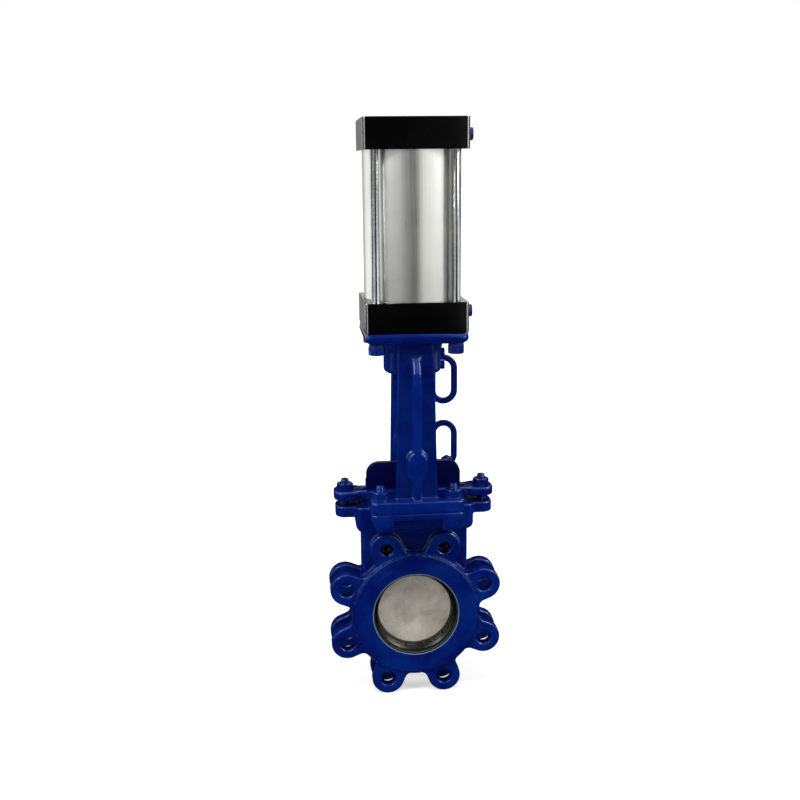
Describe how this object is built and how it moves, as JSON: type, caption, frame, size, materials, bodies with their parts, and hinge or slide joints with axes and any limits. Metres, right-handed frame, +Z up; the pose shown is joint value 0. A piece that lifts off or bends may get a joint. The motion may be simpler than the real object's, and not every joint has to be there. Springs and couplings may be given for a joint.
{
  "type": "pneumatic knife gate valve",
  "caption": "Lug-type knife gate valve with a cast body, two-leg yoke, packed gate and a square-capped tie-rod air cylinder.",
  "frame": {"origin": "centre of the inlet gasket face, on the axis of the port", "axes": "+Y along the flow from inlet to outlet, +Z up the stem towards the air cylinder, +X to the side with the switch brackets and air ports"},
  "size_m": [0.2052, 0.116, 0.6789],
  "materials": {
    "blue_paint": "thick gloss paint over sand-cast iron",
    "black_paint": "gloss black paint on machined cast aluminium",
    "tube_alloy": "satin drawn tube",
    "chrome_bar": "polished chromed bar",
    "zinc_steel": "zinc plated",
    "forged_steel": "machined forging",
    "gate_steel": "worn stainless plate",
    "seat_steel": "turned stainless ring",
    "piston_alloy": "turned",
    "bronze": "sintered bearing",
    "rubber": "moulded nitrile rubber",
    "packing": "braided packing",
    "polymer": "low-friction polymer",
    "plug_plastic": "soft moulded plug"
  },
  "bodies": {
    "valve": {"body_casting": "blue_paint", "seat_ring": "seat_steel", "seat_rubber": "rubber", "gate_guides": "polymer", "packing_rings": "packing", "gland_follower": "blue_paint", "gland_studs": "blue_paint", "gland_nuts": "blue_paint", "yoke": "blue_paint", "yoke_studs": "blue_paint", "yoke_washers": "blue_paint", "yoke_nuts": "blue_paint", "hub_bolts": "blue_paint", "upper_switch_bracket": "blue_paint", "lower_switch_bracket": "blue_paint", "bracket_bolts": "blue_paint", "bottom_cap": "black_paint", "top_cap": "black_paint", "cylinder_tube": "tube_alloy", "tube_seals": "rubber", "tie_rods": "chrome_bar", "tie_rod_nuts": "zinc_steel", "cylinder_bolts": "blue_paint", "cylinder_washers": "blue_paint", "rod_bush": "bronze", "rod_seal": "rubber", "rod_wiper": "rubber"},
    "gate_train": {"knife_gate": "gate_steel", "target_bolt": "zinc_steel", "target_nut": "zinc_steel", "gate_clevis": "forged_steel", "clevis_bolts": "zinc_steel", "clevis_nuts": "zinc_steel", "piston_rod": "chrome_bar", "lock_nut": "zinc_steel", "piston": "piston_alloy", "piston_seals": "rubber", "piston_wear_ring": "polymer", "piston_nut": "zinc_steel"},
    "upper_plug": {"upper_port_plug": "plug_plastic"},
    "lower_plug": {"lower_port_plug": "plug_plastic"}
  },
  "joints": [
    {"name": "gate_stroke", "type": "slide", "parent": "valve", "child": "gate_train", "axis": [0, 0, 1], "range_m": [0, 0.106]},
    {"name": "upper_plug_pull", "type": "slide", "parent": "valve", "child": "upper_plug", "axis": [1, 0, 0], "range_m": [0, 0.02]},
    {"name": "lower_plug_pull", "type": "slide", "parent": "valve", "child": "lower_plug", "axis": [1, 0, 0], "range_m": [0, 0.02]}
  ]
}
